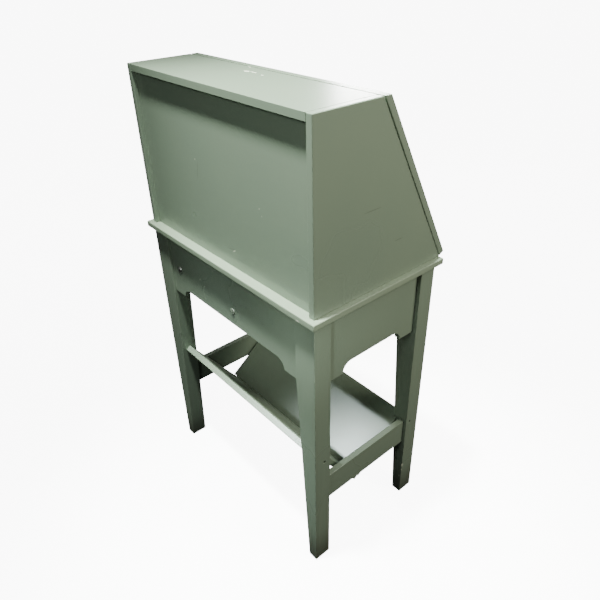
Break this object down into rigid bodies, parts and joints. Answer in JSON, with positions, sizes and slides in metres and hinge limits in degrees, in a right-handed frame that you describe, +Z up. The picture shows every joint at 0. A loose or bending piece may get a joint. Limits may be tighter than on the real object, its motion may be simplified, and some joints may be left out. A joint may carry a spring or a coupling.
{
  "type": "slant-front writing cabinet on stand",
  "caption": "Slant-front writing cabinet on a tapered-leg stand, with a fall front on hinges, pull-out supports and a V-shaped book trough between the legs.",
  "frame": {"origin": "on the floor, under the middle of the object's bounding box", "axes": "+Z up, +X to the right as seen from the front, +Y towards the back; the fall front faces -Y"},
  "size_m": [0.628, 0.3958, 1.104],
  "materials": {
    "green_paint": "worn satin grey-green paint over wood, chipped at edges and feet",
    "bare_wood": "unpainted pine, dry and slightly darkened",
    "steel": "zinc-plated steel screws, dulled",
    "brass": "aged brass",
    "rubber": "matte black rubber",
    "brown_plastic": "matte brown plastic"
  },
  "bodies": {
    "root": {"table_top": "green_paint", "leg_front_left": "green_paint", "leg_front_right": "green_paint", "leg_rear_left": "green_paint", "leg_rear_right": "green_paint", "apron_front": "green_paint", "apron_rear": "green_paint", "apron_left": "green_paint", "apron_right": "green_paint", "stretcher_left": "green_paint", "stretcher_right": "green_paint", "trough_front_board": "green_paint", "trough_rear_board": "green_paint", "trough_end_screws": "steel", "trough_seam_screws": "steel", "top_blocks": "bare_wood", "top_block_screws": "steel", "rail_front": "bare_wood", "rail_rear": "bare_wood", "apron_screws": "steel", "apron_cup_washers": "steel", "loper_channel_left": "bare_wood", "loper_channel_right": "bare_wood", "side_panel_left": "green_paint", "side_panel_right": "green_paint", "cabinet_top": "green_paint", "cabinet_back": "green_paint", "top_dowels": "bare_wood", "side_panel_screws": "steel", "back_battens": "bare_wood", "flap_buffers": "rubber", "hinge_table_leaves": "brass", "hinge_pins": "steel", "hinge_table_screws": "brass", "catch_body": "brown_plastic", "catch_screws": "steel"},
    "flap": {"fall_front": "green_paint", "flap_knob": "brass", "flap_knob_screw": "steel", "hinge_flap_leaves": "brass", "hinge_flap_screws": "brass", "catch_strike": "steel", "catch_strike_screw": "steel"},
    "loper_left": {"loper_left": "bare_wood", "loper_knob_left": "brass", "loper_pin_left": "bare_wood"},
    "loper_right": {"loper_right": "bare_wood", "loper_knob_right": "brass", "loper_pin_right": "bare_wood"}
  },
  "joints": [
    {"name": "flap_hinge", "type": "hinge", "parent": "root", "child": "flap", "pos_m": [0, -0.18541, 0.73], "axis": [1, 0, 0], "range_deg": [0, 119.12]},
    {"name": "loper_left_slide", "type": "slide", "parent": "root", "child": "loper_left", "axis": [0, -1, 0], "range_m": [0, 0.18]},
    {"name": "loper_right_slide", "type": "slide", "parent": "root", "child": "loper_right", "axis": [0, -1, 0], "range_m": [0, 0.18]}
  ]
}
